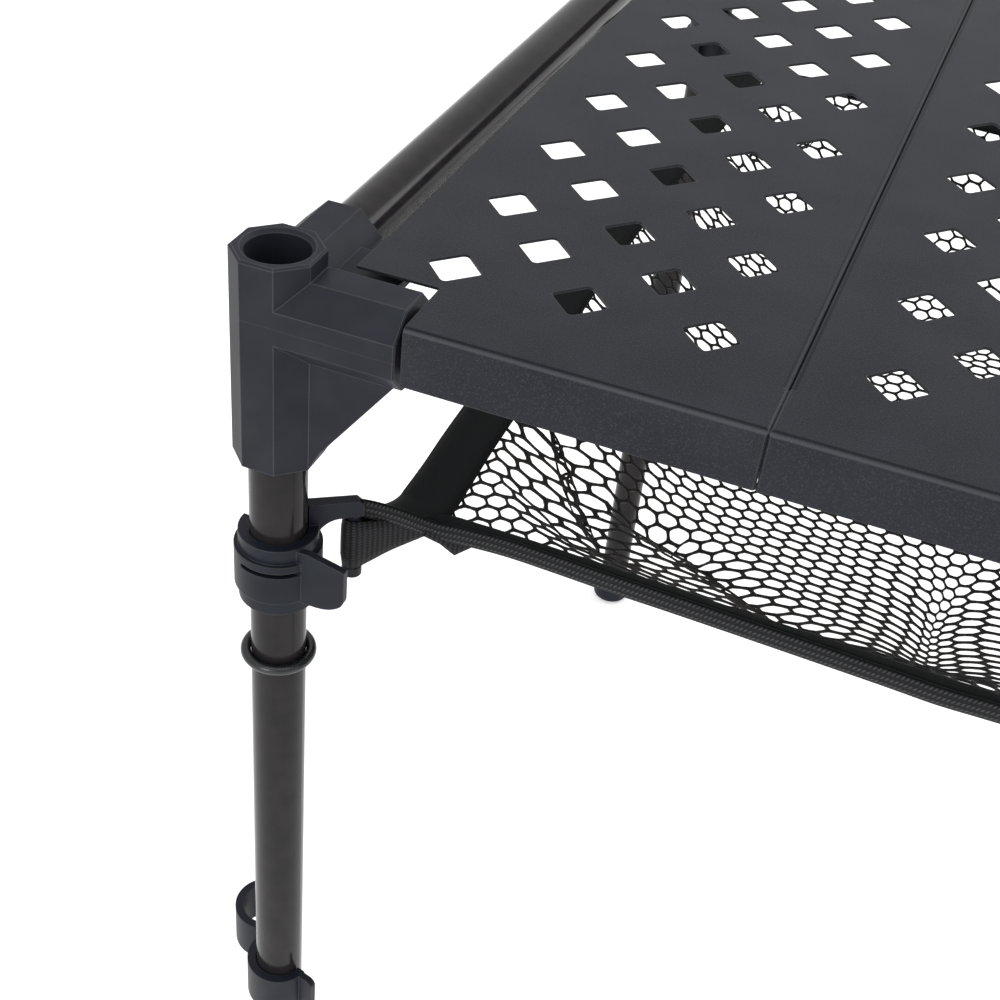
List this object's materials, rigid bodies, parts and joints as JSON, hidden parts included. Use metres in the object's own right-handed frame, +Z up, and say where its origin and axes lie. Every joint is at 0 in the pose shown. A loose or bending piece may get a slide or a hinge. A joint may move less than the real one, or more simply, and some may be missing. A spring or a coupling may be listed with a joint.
{
  "type": "folding side table",
  "caption": "Low folding side table: perforated sheet-steel trays on a round-tube frame with octagonal corner hubs, plug-in lower legs and a hanging net basket.",
  "frame": {"origin": "on the floor under the middle of the top", "axes": "+X along the front edge to the right, +Y from front to back, +Z up"},
  "size_m": [0.4786, 0.5612, 0.5428],
  "materials": {
    "hub_plastic": "matt moulded",
    "clip_plastic": "satin moulded",
    "foot_plastic": "matt moulded",
    "ring_rubber": "satin rubber",
    "pad_rubber": "matt rubber",
    "bare_metal": "drawn",
    "tray_coat": "fine-textured powder coat",
    "tube_coat": "semi-gloss coat",
    "net": "knitted net",
    "webbing": "ribbed webbing"
  },
  "bodies": {
    "frame": {"hub_front_left": "hub_plastic", "hub_front_right": "hub_plastic", "hub_back_left": "hub_plastic", "hub_back_right": "hub_plastic", "upper_leg_front_left": "tube_coat", "upper_leg_front_right": "tube_coat", "upper_leg_back_left": "tube_coat", "upper_leg_back_right": "tube_coat", "side_rail_left": "tube_coat", "side_rail_right": "tube_coat", "cross_rail_front": "tube_coat", "cross_rail_back": "tube_coat"},
    "tray_left": {"tray_left": "tray_coat", "tray_pads_left": "pad_rubber"},
    "tray_middle": {"tray_middle": "tray_coat", "tray_pads_middle": "pad_rubber"},
    "tray_right": {"tray_right": "tray_coat", "tray_pads_right": "pad_rubber"},
    "lower_leg_front_left": {"lower_leg_front_left": "tube_coat", "leg_spigot_front_left": "bare_metal", "leg_ring_front_left": "ring_rubber", "foot_front_left": "foot_plastic"},
    "lower_leg_front_right": {"lower_leg_front_right": "tube_coat", "leg_spigot_front_right": "bare_metal", "leg_ring_front_right": "ring_rubber", "foot_front_right": "foot_plastic"},
    "lower_leg_back_left": {"lower_leg_back_left": "tube_coat", "leg_spigot_back_left": "bare_metal", "leg_ring_back_left": "ring_rubber", "foot_back_left": "foot_plastic"},
    "lower_leg_back_right": {"lower_leg_back_right": "tube_coat", "leg_spigot_back_right": "bare_metal", "leg_ring_back_right": "ring_rubber", "foot_back_right": "foot_plastic"},
    "stow_clip_front_left": {"stow_clip_front_left": "clip_plastic"},
    "stow_clip_front_right": {"stow_clip_front_right": "clip_plastic"},
    "stow_clip_back_left": {"stow_clip_back_left": "clip_plastic"},
    "stow_clip_back_right": {"stow_clip_back_right": "clip_plastic"},
    "basket": {"basket_net": "net", "basket_band_left": "webbing", "basket_band_right": "webbing", "basket_tape_front": "webbing", "basket_tape_back": "webbing", "basket_hook_front_left": "clip_plastic", "basket_hook_front_right": "clip_plastic", "basket_hook_back_left": "clip_plastic", "basket_hook_back_right": "clip_plastic", "basket_strap_front_left": "webbing", "basket_strap_front_right": "webbing", "basket_strap_back_left": "webbing", "basket_strap_back_right": "webbing"}
  },
  "joints": [
    {"name": "tray_left_lift_off", "type": "slide", "parent": "frame", "child": "tray_left", "axis": [0, 0, 1], "range_m": [0, 0.024]},
    {"name": "tray_middle_lift_off", "type": "slide", "parent": "frame", "child": "tray_middle", "axis": [0, 0, 1], "range_m": [0, 0.024]},
    {"name": "tray_right_lift_off", "type": "slide", "parent": "frame", "child": "tray_right", "axis": [0, 0, 1], "range_m": [0, 0.024]},
    {"name": "lower_leg_front_left_pull_out", "type": "slide", "parent": "frame", "child": "lower_leg_front_left", "axis": [0, 0, -1], "range_m": [0, 0.038]},
    {"name": "lower_leg_front_right_pull_out", "type": "slide", "parent": "frame", "child": "lower_leg_front_right", "axis": [0, 0, -1], "range_m": [0, 0.038]},
    {"name": "lower_leg_back_left_pull_out", "type": "slide", "parent": "frame", "child": "lower_leg_back_left", "axis": [0, 0, -1], "range_m": [0, 0.038]},
    {"name": "lower_leg_back_right_pull_out", "type": "slide", "parent": "frame", "child": "lower_leg_back_right", "axis": [0, 0, -1], "range_m": [0, 0.038]},
    {"name": "stow_clip_front_left_swivel", "type": "hinge", "parent": "lower_leg_front_left", "child": "stow_clip_front_left", "pos_m": [-0.2085, -0.266, 0.2], "axis": [0, 0, 1], "continuous": true},
    {"name": "stow_clip_front_right_swivel", "type": "hinge", "parent": "lower_leg_front_right", "child": "stow_clip_front_right", "pos_m": [0.2085, -0.266, 0.2], "axis": [0, 0, 1], "continuous": true},
    {"name": "stow_clip_back_left_swivel", "type": "hinge", "parent": "lower_leg_back_left", "child": "stow_clip_back_left", "pos_m": [-0.2085, 0.266, 0.2], "axis": [0, 0, 1], "continuous": true},
    {"name": "stow_clip_back_right_swivel", "type": "hinge", "parent": "lower_leg_back_right", "child": "stow_clip_back_right", "pos_m": [0.2085, 0.266, 0.2], "axis": [0, 0, 1], "continuous": true},
    {"name": "basket_height_slide", "type": "slide", "parent": "frame", "child": "basket", "axis": [0, 0, 1], "range_m": [-0.018, 0.018]}
  ]
}
